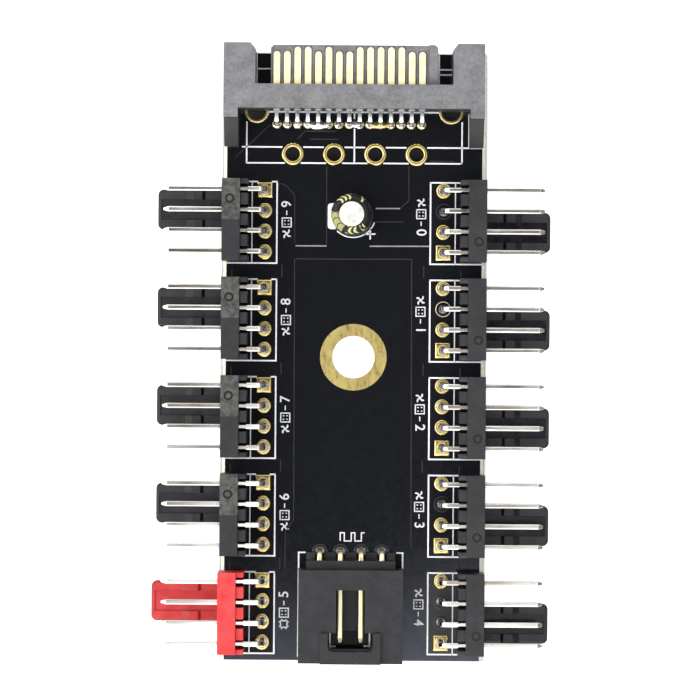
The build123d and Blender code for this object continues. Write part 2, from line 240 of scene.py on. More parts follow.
def boardFinish(values):
    # solder mask over poured copper, darker where a connector's frame has none; bare laminate on the scored
    # flanks and, dark, on the two ends
    material, tree, shader = newFinish("blackBoard", values["pour"], values["gloss"], sheen=values["sheen"])
    x, y = objectPlace(tree)[:2]
    out, fromRow = portCoordinates(x, y)
    frames = times(inside(out, *values["frameOut"]), inside(fromRow, *values["frameAlong"]))
    frames = times(frames, between(y, values["framesEnd"] + 0.1, values["framesEnd"]))
    control = times(inside(x, *values["controlAcross"]), inside(y, *values["controlAlong"]))
    frames = larger(frames, control)
    normal = faceNormal(tree)
    level = magnitude(normal[2])
    flankStart = boardHigh[0] - values["flank"]
    flank = times(between(level, 0.98, 0.9), between(magnitude(x), flankStart, flankStart + 0.05))
    bare = larger(flank, between(level, 0.6, 0.5))
    cloth = patches(tree, 2600, 4, (0.35, 0.65))
    laminate = blendColour(cloth, values["laminateDark"], values["laminate"])
    ends = between(magnitude(normal[1]), 0.5, 0.6)
    laminate = blendColour(ends, laminate, values["laminateEnd"])
    pour = blendColour(patches(tree, 900, 4, roughness=0.6), values["pour"], values["pourLight"])
    # painted sheen: the bare mask is greyer towards the lower right, round the last header on the right
    last = times(between(x, *values["sheenAcross"]), between(y, *values["sheenRows"]))
    shade = blendColour(frames, pour, blendColour(last, values["mask"], values["paintedSheenMask"]))
    feed(shader, "Base Color", blendColour(bare, shade, laminate))
    feed(shader, "Metallic", times(minus(1.0, bare), minus(1.0, frames), values["copperShare"]))
    gloss = patches(tree, 1600, 4, result=(values["gloss"] - 0.01, values["gloss"] + 0.03))
    feed(shader, "Roughness", larger(gloss, times(bare, values["bareGloss"])))
    roughen(shader, spots(tree, 900, 3), 0.0015, 0.4)
    return material


headerValues = {
    "dark": (0.013, 0.013, 0.0155),
    "light": (0.0215, 0.0215, 0.0245),
    "pale": (0.082, 0.082, 0.075),
    "channel": (0.0045, 0.0045, 0.0085),
    "slope": 0.75,
    "gloss": 0.42,
    "channelGloss": 0.18,
    "sheen": 0.3,
    "paleOut": (2.9, 5.3),
    "paleAlong": (0.0, 5.3),
    "rightPale": 0.08,
    "channelOut": (5.15, 12.65),
    "channelAlong": (0.02, 2.52),
    "leftChannel": 0.38,
    "top": boxOf("fan_header_9_housing")[1][2],
}


def headerFinish(values):
    # black wafer plastic, painted shade on its slopes and in the tab's channel, which is also polished; the
    # first-pin half of the wafers' tops is paler, mostly on the left
    gloss, top = values["gloss"], values["top"]
    material, tree, shader = newFinish("blackHeaderPlastic", values["dark"], gloss, sheen=values["sheen"])
    x, y, z = objectPlace(tree)
    out, fromRow = portCoordinates(x, y)
    side = calculate("SIGN", x)
    along = times(fromRow, side, -1.0)
    flow = patches(tree, 620, 5, (0.36, 0.66), roughness=0.65)
    shade = darkSlopes(blendColour(flow, values["dark"], values["light"]), values["slope"])
    # painted shade in the tab's channel, weaker on the left and in patches; the channel is also glossier
    channel = times(inside(out, *values["channelOut"]), inside(along, *values["channelAlong"]))
    channel = times(channel, between(side, 0.5, -0.5, 1.0, values["leftChannel"]))
    patchyShade = patches(tree, 800, 4, (0.4, 0.75), (0.0, 0.35), roughness=0.6)
    shade = blendColour(channel, shade, blendColour(patchyShade, values["channel"], values["dark"]))
    half = times(inside(along, *values["paleAlong"]), inside(out, *values["paleOut"]))
    half = times(half, between(z, top - 0.12, top - 0.06))
    left = between(side, 0.5, -0.5, values["rightPale"], 1.0)
    pale = patches(tree, 1500, 4, (0.36, 0.62), (0.15, 1.0), roughness=0.7)
    feed(shader, "Base Color", blendColour(times(half, left, pale), shade, values["pale"]))
    grain = patches(tree, 1100, 3, result=(gloss - 0.07, gloss + 0.07))
    feed(shader, "Roughness", minus(grain, times(channel, gloss - values["channelGloss"])))
    roughen(shader, spots(tree, 2600, 3), 0.006, 0.6)
    return material


plasticValues = {
    "redHeaderPlastic": {
        "colour": (0.56, 0.023, 0.027), "light": (0.70, 0.052, 0.050), "gloss": 0.45,
        "sheen": 0.35, "slope": 0.3, "shadow": (boardTop + 2.6, 0.72),
    },
    "plugPlastic": {
        "colour": (0.066, 0.066, 0.071), "light": (0.185, 0.185, 0.196), "gloss": 0.55,
        "grain": 3200, "depth": 0.02, "sheen": 0.8, "mottle": 0.45, "slope": 0.9,
    },
    "shroudPlastic": {
        "colour": (0.0095, 0.0095, 0.0112), "light": (0.0235, 0.0235, 0.0268), "gloss": 0.42,
        "mottle": 0.4, "slope": 0.25,
    },
    "sealRubber": {"colour": (0.02, 0.02, 0.02), "light": (0.03, 0.03, 0.03), "gloss": 0.7},
    "shadedMouldMark": {
        "colour": (0.006, 0.006, 0.006), "light": (0.010, 0.010, 0.010), "gloss": 0.5, "sheen": 0.2,
    },
    "shadedRedMouldMark": {"colour": (0.50, 0.02, 0.024), "light": (0.6, 0.04, 0.04), "gloss": 0.5},
    # painted glint: the rims of the pads under the mask are paler than the mask
    "paintedGlintRim": {
        "colour": (0.045, 0.048, 0.045), "light": (0.075, 0.078, 0.070), "gloss": 0.4, "sheen": 0.4,
    },
    "copperEdge": {"colour": (0.010, 0.010, 0.013), "light": (0.018, 0.018, 0.022), "gloss": 0.4},
    "paintedGlintEdge": {
        "colour": (0.20, 0.20, 0.21), "light": (0.30, 0.30, 0.31), "gloss": 0.4, "sheen": 0.4,
    },
}


def plasticFinish(
    name, colour, light, gloss, grain=2600, depth=0.006, sheen=0.3, mottle=0.0, slope=0.0, shadow=None
):
    # moulded plastic: fine grain in the bump, flow marks and mottles in the colour, painted shade on sloped
    # faces;
    # shadow is a height and the share of the colour that is left below it, a painted shadow
    material, tree, shader = newFinish(name, colour, gloss, sheen=sheen)
    flow = patches(tree, 520, 5, (0.35, 0.7))
    if mottle:
        fine = patches(tree, 2300, 4, (0.36, 0.64), roughness=0.7)
        flow = plus(times(flow, 1 - mottle), times(fine, mottle))
    shade = blendColour(flow, colour, light)
    if slope:
        shade = darkSlopes(shade, slope)
    # painted shadow: below the height the colour keeps only its share
    if shadow:
        height, share = shadow
        below = between(objectPlace(tree)[2], height + 0.1, height, 0.0, 1 - share)
        shade = blendColour(below, shade, black)
    feed(shader, "Base Color", shade)
    feed(shader, "Roughness", patches(tree, grain * 0.4, 3, result=(gloss - 0.07, gloss + 0.07)))
    roughen(shader, spots(tree, grain, 3), depth, 0.6)
    return material


# painted shade for faces that stand upright, such as the plated holes' barrels
barrelShade = (0.030, 0.020, 0.010)
metalValues = {
    "goldPlating": {
        "colour": (0.62, 0.50, 0.215), "dull": (0.38, 0.29, 0.10), "gloss": 0.2, "steepShade": barrelShade,
    },
    # painted shadow: a darker copy of the gold for the peg holes' pads, which lie in the plug's shadow
    "shadedPegGold": {
        "colour": (0.46, 0.38, 0.18), "dull": (0.31, 0.245, 0.105), "gloss": 0.25, "steepShade": barrelShade,
    },
    "ringGold": {
        "colour": (0.50, 0.40, 0.155), "dull": (0.43, 0.33, 0.12), "gloss": 0.3,
        "grain": 900, "stretch": (3, 1, 1), "depth": 0.0006,
    },
    "goldPins": {
        "colour": (1.0, 0.90, 0.60), "dull": (0.95, 0.80, 0.46), "gloss": 0.36, "stretch": (1, 0.06, 1),
    },
    "tinnedPins": {
        "colour": (0.86, 0.84, 0.80), "dull": (0.50, 0.45, 0.40), "gloss": 0.17, "stretch": (0.12, 1, 1),
    },
    "solderMetal": {
        "colour": (0.88, 0.88, 0.87), "dull": (0.66, 0.66, 0.65), "gloss": 0.2, "grain": 1100, "depth": 0.01,
    },
    "canAluminium": {
        "colour": (0.76, 0.76, 0.71), "dull": (0.60, 0.60, 0.57), "gloss": 0.45,
        "grain": 1200, "depth": 0.012,
    },
}


def metalFinish(name, colour, dull, gloss, grain=1500, stretch=(1, 1, 1), depth=0.002, steepShade=None):
    # plated metal: duller patches, and drawing marks along the axis that stretch leaves long;
    # a painted shade, given last, darkens the faces that stand upright, as in a plated hole
    material, tree, shader = newFinish(name, colour, gloss, metallic=1.0)
    shade = blendColour(patches(tree, grain * 0.4, 4, (0.4, 0.7), stretch=stretch), colour, dull)
    if steepShade:
        shade = blendColour(between(magnitude(faceNormal(tree)[2]), 0.8, 0.35), shade, steepShade)
    feed(shader, "Base Color", shade)
    feed(shader, "Roughness", patches(tree, grain, 4, result=(gloss * 0.7, gloss * 1.4), stretch=stretch))
    roughen(shader, spots(tree, grain, 3, stretch), depth, 0.5)
    return material


inkFinishValues = {
    "whiteInk": {"ink": (0.86, 0.87, 0.88), "thin": (0.70, 0.71, 0.73)},
    "labelInk": {"ink": (0.64, 0.65, 0.67), "thin": (0.46, 0.47, 0.50)},
}


def inkFinish(name, ink, thin):
    material, tree, shader = newFinish(name, ink, 0.6)
    feed(shader, "Base Color", blendColour(patches(tree, 3500, 3, (0.35, 0.7)), ink, thin))
    roughen(shader, spots(tree, 5000, 2), 0.004, 0.5)
    return material


platingValues = {
    "gold": (1.0, 0.93, 0.60),
    "goldDull": (0.97, 0.82, 0.44),
    "tin": (0.88, 0.88, 0.87),
    "tinGloss": 0.14,
    "goldGloss": 0.42,
}


def contactFinish(values, turnover):
    # pale gold on the mating end, bright tin behind the cross wall; the change lies at turnover on Y
    material, tree, shader = newFinish("contactPlating", values["gold"], values["goldGloss"], metallic=1.0)
    front = between(objectPlace(tree)[1], turnover - 0.1, turnover + 0.1)
    gold = blendColour(patches(tree, 900, 4, (0.4, 0.7)), values["gold"], values["goldDull"])
    feed(shader, "Base Color", blendColour(front, values["tin"], gold))
    gloss = between(front, 0, 1, values["tinGloss"], values["goldGloss"])
    feed(shader, "Roughness", plus(gloss, patches(tree, 700, 2, result=(0.0, 0.1))))
    roughen(shader, spots(tree, 900, 1), 0.001, 0.2)
    return material


filmValues = {
    "film": (0.010, 0.009, 0.010),
    "sheen": 0.22,
    "gloss": 0.28,
    "inkGloss": 0.45,
    "stripeInk": (0.30, 0.29, 0.12),
    "dashInk": (0.52, 0.51, 0.22),
    "stripe": (176, 238),
    "blocks": 17,
    "blockShare": 0.8,
    "dashSpans": ((96, 142), (48, 62), (250, 288), (298, 312)),
    "dashCount": 22,
    "slant": 0.35,
    "climb": 0.9,
    "dashShare": 0.46,
    "bandHeight": 0.42,
    "printInner": 1.70,
}


def sleeveFinish(values, centre, top):
    # dark shrink film; round it, slanted pale blocks in the minus stripe and smaller gold dashes elsewhere
    material, tree, shader = newFinish("printedFilm", values["film"], values["gloss"], sheen=values["sheen"])
    x, y, z = objectPlace(tree)
    x, y = minus(x, centre[0]), minus(y, centre[1])
    angle = calculate("ARCTAN2", y, x)
    radius = calculate("SQRT", plus(times(x, x), times(y, y)))
    drift = plus(angle, times(radius, values["slant"]), times(z, values["climb"]))

    def window(start, stop):
        # 1 between two angles in degrees, going anticlockwise
        middle, half = math.radians((start + stop) / 2), math.radians((stop - start) / 2)
        turn = calculate("ARCCOSINE", calculate("COSINE", minus(angle, middle)))
        return between(turn, half + 0.02, half)

    def dashes(count, share):
        wave = calculate("FRACT", times(drift, count / (2 * math.pi)))
        return between(magnitude(minus(wave, 0.5)), share / 2 + 0.03, share / 2)

    stripe = times(window(*values["stripe"]), dashes(values["blocks"], values["blockShare"]))
    bandLow = top - values["bandHeight"]
    marks = times(
        larger(*(window(*span) for span in values["dashSpans"])),
        between(z, bandLow - 0.05, bandLow),
        dashes(values["dashCount"], values["dashShare"]),
        between(radius, values["printInner"], values["printInner"] + 0.03),
    )
    shade = blendColour(stripe, values["film"], values["stripeInk"])
    feed(shader, "Base Color", blendColour(marks, shade, values["dashInk"]))
    feed(shader, "Roughness", between(larger(stripe, marks), 0, 1, values["gloss"], values["inkGloss"]))
    roughen(shader, spots(tree, 900, 3), 0.006, 0.5)
    return material


board = boardFinish(boardValues)
blackPlastic = headerFinish(headerValues)
plastics = {name: plasticFinish(name, **values) for name, values in plasticValues.items()}
metals = {name: metalFinish(name, **values) for name, values in metalValues.items()}
inks = {name: inkFinish(name, **values) for name, values in inkFinishValues.items()}
print("finishes made")


# Helpers for the shapes

def gridFaces(rows, columns, closeRows=False):
    # the face at (i, j) joins grid points (i, j), (i + 1, j), (i + 1, j + 1) and (i, j + 1); the last column
    # joins the first
    i, j = np.meshgrid(np.arange(rows if closeRows else rows - 1), np.arange(columns), indexing="ij")
    nextI, nextJ = (i + 1) % rows, (j + 1) % columns
    corners = [i * columns + j, nextI * columns + j, nextI * columns + nextJ, i * columns + nextJ]
    return np.stack(corners, -1).reshape(-1, 4)


def endCaps(rows, columns):
    # the faces that close the first and the last row of a grid
    return [list(range(columns)), list(range((rows - 1) * columns, rows * columns))[::-1]]


def placePiece(name, mesh, finish):
    dress(mesh, finish)
    piece = addObject(name, mesh)
    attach(piece, "root")
    return piece


def buildPiece(name, points, faces, finish, caps=(), smooth=True, edgeAngle=35):
    # points has an entry for each of the like bodies in the piece; faces and caps index one body
    points = np.asarray(points, float).reshape(len(points), -1, 3)
    shift = np.arange(len(points)) * points.shape[1]
    allFaces = (faces[None] + shift[:, None, None]).reshape(-1, 4).tolist()
    for cap in caps:
        allFaces += (np.asarray(cap)[None] + shift[:, None]).tolist()
    mesh = bpy.data.meshes.new(name)
    mesh.from_pydata((points.reshape(-1, 3) * millimetre).tolist(), [], allFaces)
    mesh.validate()
    work = bmesh.new()
    work.from_mesh(mesh)
    bmesh.ops.recalc_face_normals(work, faces=work.faces)
    work.to_mesh(mesh)
    work.free()
    if smooth:
        mesh.shade_smooth()
        mesh.set_sharp_from_angle(angle=math.radians(edgeAngle))
    return placePiece(name, mesh, finish)


def gridPiece(name, grids, finish, closeRows=False, **more):
    # grids is (bodies, rows, columns, 3); the end rows are closed by a face, or joined by closeRows
    rows, columns = grids.shape[1:3]
    caps = () if closeRows else endCaps(rows, columns)
    return buildPiece(name, grids, gridFaces(rows, columns, closeRows), finish, caps, **more)


def pathFrame(path):
    # unit steps before and after each point, and the unit tangent halfway between them
    steps = np.diff(path, axis=0)
    steps /= np.linalg.norm(steps, axis=1, keepdims=True)
    before, after = np.vstack([steps[:1], steps]), np.vstack([steps, steps[-1:]])
    tangent = before + after
    return before, after, tangent / np.linalg.norm(tangent, axis=1, keepdims=True)


def carried(profile, path, fixed, widths=None):
    # point(i, j) = path_i + a_j w_i side_i + b_j w_i fixed, where side_i = fixed x tangent_i, mitred at bends
    before, after, tangent = pathFrame(path)
    mitre = 1 / np.sqrt((1 + (before * after).sum(1)) / 2)
    side = np.cross(fixed, tangent) * mitre[:, None]
    widths = np.ones(len(path)) if widths is None else widths
    profile = np.asarray(profile, float)[None]
    across = profile[..., 0, None] * side[:, None] + profile[..., 1, None] * fixed
    return path[:, None] + across * widths[:, None, None]


def roundedSquare(width, radius, steps=4, strip=0.015):
    # corner k sits at (+-(width / 2 - r), +-(width / 2 - r)), with an arc of radius r from 90 k to 90 k + 90
    # degrees; a point strip before and after each arc keeps the flats flat when they are shaded smooth
    angle = np.linspace(0, math.pi / 2, steps + 1)[None] + np.arange(4)[:, None] * math.pi / 2
    reach = width / 2 - radius
    cornerX, cornerY = reach * np.array([1, -1, -1, 1])[:, None], reach * np.array([1, 1, -1, -1])[:, None]
    arc = np.stack([cornerX + radius * np.cos(angle), cornerY + radius * np.sin(angle)], -1)
    tangent = strip * np.stack([-np.sin(angle), np.cos(angle)], -1)
    return np.concatenate([arc[:, :1] - tangent[:, :1], arc, arc[:, -1:] + tangent[:, -1:]], 1).reshape(-1, 2)


def turned(profile, centres, sides, squareness=None, wobble=0.0, seed=1, lean=(0.0, 0.0)):
    # point(k, i, j) = centre_k + (r_i s cos t_j, r_i s sin t_j, z_i); s goes from 1 on a circle to
    # 1 / max(|cos t|, |sin t|) on a square, and wobble makes r differ by a slow wave round each centre;
    # lean moves a point sideways by its height above the board
    profile, centres = np.asarray(profile, float), np.asarray(centres, float)
    angle = np.arange(sides) * 2 * math.pi / sides
    cosine, sine = np.cos(angle), np.sin(angle)
    square = 1 / np.maximum(np.abs(cosine), np.abs(sine))
    blend = np.zeros(len(profile)) if squareness is None else squareness
    reach = profile[:, 0, None] * (1 + blend[:, None] * (square[None] - 1))
    phase = np.random.default_rng(seed).uniform(0, 2 * math.pi, (len(centres), 3))
    wave = sum(np.cos((n + 2) * angle[None] + phase[:, n, None]) / (n + 1) for n in range(3))
    reach = reach[None] * (1 + wobble * wave[:, None])
    heights = np.broadcast_to(profile[None, :, 1, None], reach.shape)
    points = np.stack([reach * cosine, reach * sine, heights], -1)
    points[..., :2] += (points[..., 2:] - boardTop) * np.array(lean)
    offset = np.concatenate([centres, np.zeros((len(centres), 3 - centres.shape[1]))], 1)
    return points + offset[:, None, None]


def ringPiece(name, profile, centres, finish, sides, squareness=None, lean=(0.0, 0.0)):
    # closed profile turned round each centre, so each ring is one closed skin
    return gridPiece(name, turned(profile, centres, sides, squareness, lean=lean), finish, closeRows=True)


def softened(node, name, width, finish):
    # the node's own solid with its edges rounded by the mould's small radius, given in width
    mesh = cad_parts[node].data.copy()
    work = bmesh.new()
    work.from_mesh(mesh)
    bmesh.ops.remove_doubles(work, verts=work.verts, dist=1e-6)
    bmesh.ops.dissolve_limit(work, angle_limit=math.radians(1), verts=work.verts, edges=work.edges)
    work.to_mesh(mesh)
    work.free()
    mesh.shade_smooth()
    piece = placePiece(name, mesh, finish)
    edges = piece.modifiers.new("mouldRadius", "BEVEL")
    edges.width = width * millimetre
    edges.segments = 2
    edges.limit_method = "ANGLE"
    edges.angle_limit = math.radians(20)  # the tab's ramp slopes by only 24 degrees
    edges.miter_outer = "MITER_ARC"
    edges.use_clamp_overlap = True
    shade = piece.modifiers.new("flatFaces", "WEIGHTED_NORMAL")
    shade.keep_sharp = True
    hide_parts(node)


def stripPiece(name, paths, width, height, finish, topWidth=None):
    # a low trapezium carried along each flat path: width at the board, topWidth at its top
    half, top = width / 2, (topWidth or width) / 2
    profile = [(half, 0.0), (top, height), (-top, height), (-half, 0.0)]
    points, faces, count = [], [], 0
    for path in paths:
        flat = np.column_stack([path, np.full(len(path), boardTop)])
        points.append(carried(profile, flat, up).reshape(-1, 3))
        faces.append(np.concatenate([gridFaces(len(flat), 4), endCaps(len(flat), 4)]) + count)
        count += 4 * len(flat)
    buildPiece(name, [np.concatenate(points)], np.concatenate(faces), finish, smooth=False)


def figurePiece(name, text, place, size, turn, height, finish):
    # plain figures only, made a mesh and laid flat on the board
    curve = bpy.data.curves.new(name, "FONT")
    curve.body = text
    curve.size = size * millimetre
    curve.extrude = height / 2 * millimetre
    curve.offset = 0.02 * millimetre
    curve.align_x = "CENTER"
    curve.align_y = "CENTER"
    source = addObject(name + "Curve", curve)
    bpy.context.view_layer.update()
    mesh = bpy.data.meshes.new_from_object(source.evaluated_get(bpy.context.evaluated_depsgraph_get()))
    bpy.data.objects.remove(source)
    points = np.empty(len(mesh.vertices) * 3)
    mesh.vertices.foreach_get("co", points)
    cosine, sine = math.cos(turn), math.sin(turn)
    spin = np.array([[cosine, -sine, 0], [sine, cosine, 0], [0, 0, 1]])
    points = points.reshape(-1, 3) @ spin.T + np.array([*place, boardTop + height / 2]) * millimetre
    mesh.vertices.foreach_set("co", points.ravel())
    mesh.update()
    placePiece(name, mesh, finish)


# Where the connectors stand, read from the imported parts

pinThickness, pinPitch = 0.64, 2.54


def portPlace(number):
    low, high = boxOf(f"fan_header_{number}_pins")
    side = 1 if low[0] + high[0] > 0 else -1
    foot = low[0] if side > 0 else high[0]
    return {"side": side, "leadX": foot + side * pinThickness / 2, "row": (low[1] + high[1]) / 2}


def portHoles(port):
    # the first pin is the lowest on the right and the highest on the left
    rows = port["row"] + port["side"] * (np.arange(4) - 1.5) * pinPitch
    return np.column_stack([np.full(4, port["leadX"]), rows])


ports = [portPlace(number) for number in range(10)]
fanHoles = np.array([portHoles(port) for port in ports])
contactBoxes = [boxOf(f"power_contact_{index + 1}") for index in range(15)]
contactThickness = 0.25
contactX = np.array([(low[0] + high[0]) / 2 for low, high in contactBoxes])
plugLeadY = contactBoxes[0][0][1] + contactThickness / 2
plugHoles = np.stack([contactX, np.full(15, plugLeadY)], -1)
controlLow, controlHigh = boxOf("control_header_pins")
controlRow = controlHigh[1] - pinThickness / 2
controlHoles = np.array([(controlLow[0] + pinThickness / 2 + n * pinPitch, controlRow) for n in range(4)])
canLow, canHigh = boxOf("capacitor_can")
canCentre = (canLow[:2] + canHigh[:2]) / 2
capacitorHoles = canCentre + np.array([(-1.0, 0), (1.0, 0)])


# Camera, light and floor

viewValues = {
    "distance": 500.0,
    "pixels": 700,
    "pixelsPerMillimetre": 8.13,
    "centre": (-0.416, 0.883),
    "roll": 0.0073,
    "sensor": 36,
}


def makeCamera(values):
    # lens = sensor x distance / width of the view at the board's top
    camera = addObject("camera", bpy.data.cameras.new("camera"))
    width = values["pixels"] / values["pixelsPerMillimetre"]
    camera.data.sensor_width = values["sensor"]
    camera.data.lens = values["sensor"] * values["distance"] / width
    camera.data.clip_start = 10 * millimetre
    camera.data.clip_end = 10000 * millimetre
    camera.location = np.array([*values["centre"], boardTop + values["distance"]]) * millimetre
    camera.rotation_euler = (0, 0, values["roll"])
    bpy.context.scene.camera = camera


lightValues = {
    # place, size and strength of each box
    "boxes": {
        "leftBox": ((-400, -100, 420), (300, 500), 0.7),
        "rightBox": ((400, -100, 420), (300, 500), 0.03),
        "nearBox": ((0, -420, 420), (600, 300), 0.5),
    },
    "worldStrength": 2.2,
    "nearBias": 0.25,
    "leftBias": 0.45,
    # brightness of the studio dome against the height of the ray (1 is straight up, 0 the horizon)
    "dome": ((0.0, 0.30), (0.35, 0.55), (0.66, 1.0), (1.0, 1.0)),
    # dark opening for the camera: lean of its middle to the right and to the far side, half width and soft
    # edge, in degrees
    "openingLean": (-3.0, 10.0),
    "openingHalf": 14.4,
    "openingEdge": 1.1,
    "openingShade": 0.024,
    # how dark the low right side of the dome is
    "rightShade": 0.12,
}


def softbox(name, place, size, strength):
    lamp = addObject(name, bpy.data.lights.new(name, "AREA"))
    lamp.data.shape = "RECTANGLE"
    lamp.data.size, lamp.data.size_y = np.array(size) * millimetre
    lamp.data.energy = strength
    lamp.location = np.array(place) * millimetre
    aim = -np.array(place) / np.linalg.norm(place)
    lamp.rotation_euler = (math.acos(-aim[2]), 0, math.atan2(-aim[0], aim[1]))


def makeLight(values):
    for name, box in values["boxes"].items():
        softbox(name, *box)
    world = bpy.data.worlds.new("studio")
    bpy.context.scene.world = world
    world.use_nodes = True
    tree = world.node_tree
    backdrop = tree.nodes["Background"]
    direction = addNode(tree, "ShaderNodeTexCoord").outputs["Generated"]
    rayX, rayY, rayZ = addNode(tree, "ShaderNodeSeparateXYZ", {0: direction}).outputs
    ramp = addNode(tree, "ShaderNodeValToRGB", {0: rayZ})
    stops = ramp.color_ramp.elements
    while len(stops) < len(values["dome"]):
        stops.new(0.5)
    for stop, (height, brightness) in zip(stops, values["dome"]):
        stop.position = height
        stop.color = (brightness, brightness, brightness, 1)
    feed(backdrop, 0, ramp.outputs[0])
    half, edge = math.radians(values["openingHalf"]), math.radians(values["openingEdge"])
    leanX, leanY = (math.sin(math.radians(lean)) for lean in values["openingLean"])
    aim = (leanX, leanY, math.sqrt(1 - leanX**2 - leanY**2))
    middle = addNode(tree, "ShaderNodeVectorMath", {0: direction, 1: aim}, operation="DOT_PRODUCT")
    edges = math.cos(half + edge), math.cos(half - edge)
    opening = between(middle.outputs["Value"], *edges, 1.0, values["openingShade"])
    near = between(rayY, 1.0, -1.0, 1 - values["nearBias"], 1 + values["nearBias"])
    left = between(rayX, 0.0, -1.0, 1.0, 1 + values["leftBias"])
    right = between(rayX, 0.5, 0.3, values["rightShade"], 1.0)
    feed(backdrop, 1, times(near, left, right, opening, values["worldStrength"]))


floorValues = {
    "half": 1500.0,
    "gap": 0.01,
    "shade": (0.93, 0.93, 0.93),
    "paintedShadeUnderBoard": (0.12, 0.11, 0.12),
    "glow": 0.8,
    "fade": 0.5,
    "holeRadius": 3.4,
}


def makeFloor(values):
    # the floor glows, as painted light, beside the board and under the mounting hole; elsewhere under the
    # board it is painted dark, as painted shade
    half, level = values["half"], cadLow[2] / millimetre - values["gap"]
    corners = [(-half, -half, level), (half, -half, level), (half, half, level), (-half, half, level)]
    mesh = bpy.data.meshes.new("floor")
    mesh.from_pydata((np.array(corners) * millimetre).tolist(), [], [[0, 1, 2, 3]])
    material, tree, shader = newFinish("paleFloor", values["shade"], 0.9)
    x, y = objectPlace(tree)[:2]
    middle, reach = (boardLow + boardHigh) / 2, (boardHigh - boardLow) / 2
    beyond = larger(*(minus(magnitude(minus(part, middle[n])), reach[n]) for n, part in enumerate((x, y))))
    hole = calculate("SQRT", plus(times(x, x), times(y, y)))
    hole = between(hole, values["holeRadius"] + 0.1, values["holeRadius"])
    glow = larger(between(beyond, 0.0, values["fade"]), hole)
    feed(shader, "Base Color", blendColour(glow, values["paintedShadeUnderBoard"], values["shade"]))
    shader.inputs["Emission Color"].default_value = (1, 1, 1, 1)
    feed(shader, "Emission Strength", times(glow, values["glow"]))
    dress(mesh, material)
    floor = addObject("floor", mesh)


makeCamera(viewValues)
makeLight(lightValues)
makeFloor(floorValues)
bpy.context.scene.view_settings.view_transform = "Standard"
print("camera, light and floor placed")


# Parts that keep their solid and get their finish

solidFinishes = {
    "circuit_board": board, "capacitor_seal": plastics["sealRubber"], "capacitor_leads": metals["tinnedPins"],
}
for node, finish in solidFinishes.items():
    dress(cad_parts[node].data, finish)


# Pads: a ring on each face and a barrel between them

padValues = {
    # outer radius, inner radius, radius of the board's hole and the ring's rise
    "fan": (0.94, 0.56, 0.595, 0.075),
    "plug": (0.58, 0.40, 0.445, 0.05),
    "spare": (1.36, 0.90, 0.945, 0.085),
    "peg": (1.575, 1.20, 1.27, 0.06),
    "capacitor": (0.80, 0.40, 0.445, 0.06),
    "rows": 9,
    # inner and outer radius of a thin rim's foot, inner and outer radius of its top, and its height
    "rim": (0.92, 0.97, 0.935, 0.955, 0.02),
    "wornRim": (0.84, 0.97, 0.87, 0.93, 0.045),
    # the pins, by port, whose pad the solder mask covers
    "masked": {0: (2,), 1: (2,), 3: (2,), 4: (1, 2)},
    "wornPort": 1,
    "sparePitch": 5.08,
    "spareRow": 24.95,
    "pegSpacing": 23.95,
    "pegForward": 1.65,
    "ringRadius": 0.05,
}


def padProfile(kind, lipHeight=1.0):
    # ring outline on both faces: z = rise (1 - u^2)^0.6 with u from -0.8 at the bore to 1 at the rim,
    # joined through the bore on the inside and along the drilled wall on the outside
    outer, bore, wall, rise = padValues[kind]
    u = np.linspace(-0.8, 1.0, padValues["rows"])
    r = bore + (outer - bore) * (u + 0.8) / 1.8
    height = rise * np.clip(1 - u**2, 0, 1) ** 0.6 + 0.002
    upper = np.stack([r, boardTop + height * lipHeight], -1)
    lower = np.stack([r, boardLow[2] - height * 0.6], -1)[::-1]
    return np.concatenate([upper, [(wall, boardTop + 0.001), (wall, boardLow[2] - 0.001)], lower])


def rimProfile(kind):
    footIn, footOut, topIn, topOut, height = padValues[kind]
    top = boardTop + height
    return [(footIn, boardTop), (topIn, top), (topOut, top), (footOut, boardTop)]


def squarenessOf(profile, outer):
    # 0 up to three quarters of the pad's radius, then rising to 1 at its rim
    return np.clip((profile[:, 0] - 0.75 * outer) / (0.2 * outer), 0, 1)


gold = metals["goldPlating"]
roundHoles, maskedHoles, wornHoles = [], [], []
for number in range(10):
    for index in range(1, 4):
        masked = index in padValues["masked"].get(number, ())
        coveredHoles = wornHoles if number == padValues["wornPort"] else maskedHoles
        (coveredHoles if masked else roundHoles).append(fanHoles[number, index])
fanPad, maskedPad = padProfile("fan"), padProfile("fan", 0.5)
ringPiece("fanPads", fanPad, roundHoles, gold, 40)
ringPiece("firstPinPads", fanPad, fanHoles[:, 0], gold, 40, squarenessOf(fanPad, padValues["fan"][0]))
ringPiece("maskedPads", maskedPad, maskedHoles + wornHoles + list(controlHoles), board, 40)
ringPiece("maskedPadRims", rimProfile("rim"), maskedHoles, plastics["paintedGlintRim"], 48)
ringPiece("controlPadRims", rimProfile("rim"), controlHoles, plastics["copperEdge"], 48)
ringPiece("wornPadRim", rimProfile("wornRim"), wornHoles, metals["goldPins"], 48)
ringPiece("plugPads", padProfile("plug"), plugHoles, gold, 28)
spareHoles = [((n - 1.5) * padValues["sparePitch"], padValues["spareRow"]) for n in range(4)]
ringPiece("spareHolePads", padProfile("spare"), spareHoles, gold, 56)
plugLow, plugHigh = boxOf("power_plug_housing")
plugMiddle, pegReach = (plugLow[0] + plugHigh[0]) / 2, padValues["pegSpacing"] / 2
pegHoles = [(plugMiddle + side * pegReach, plugLeadY + padValues["pegForward"]) for side in (-1, 1)]
ringPiece("pegHolePads", padProfile("peg"), pegHoles, metals["shadedPegGold"], 64)
ringPiece("capacitorPads", padProfile("capacitor"), capacitorHoles, gold, 28)
softened("mounting_hole_ring", "mountingRing", padValues["ringRadius"], metals["ringGold"])
print("pads made")


# Solder under the board and round the plug's leads on top

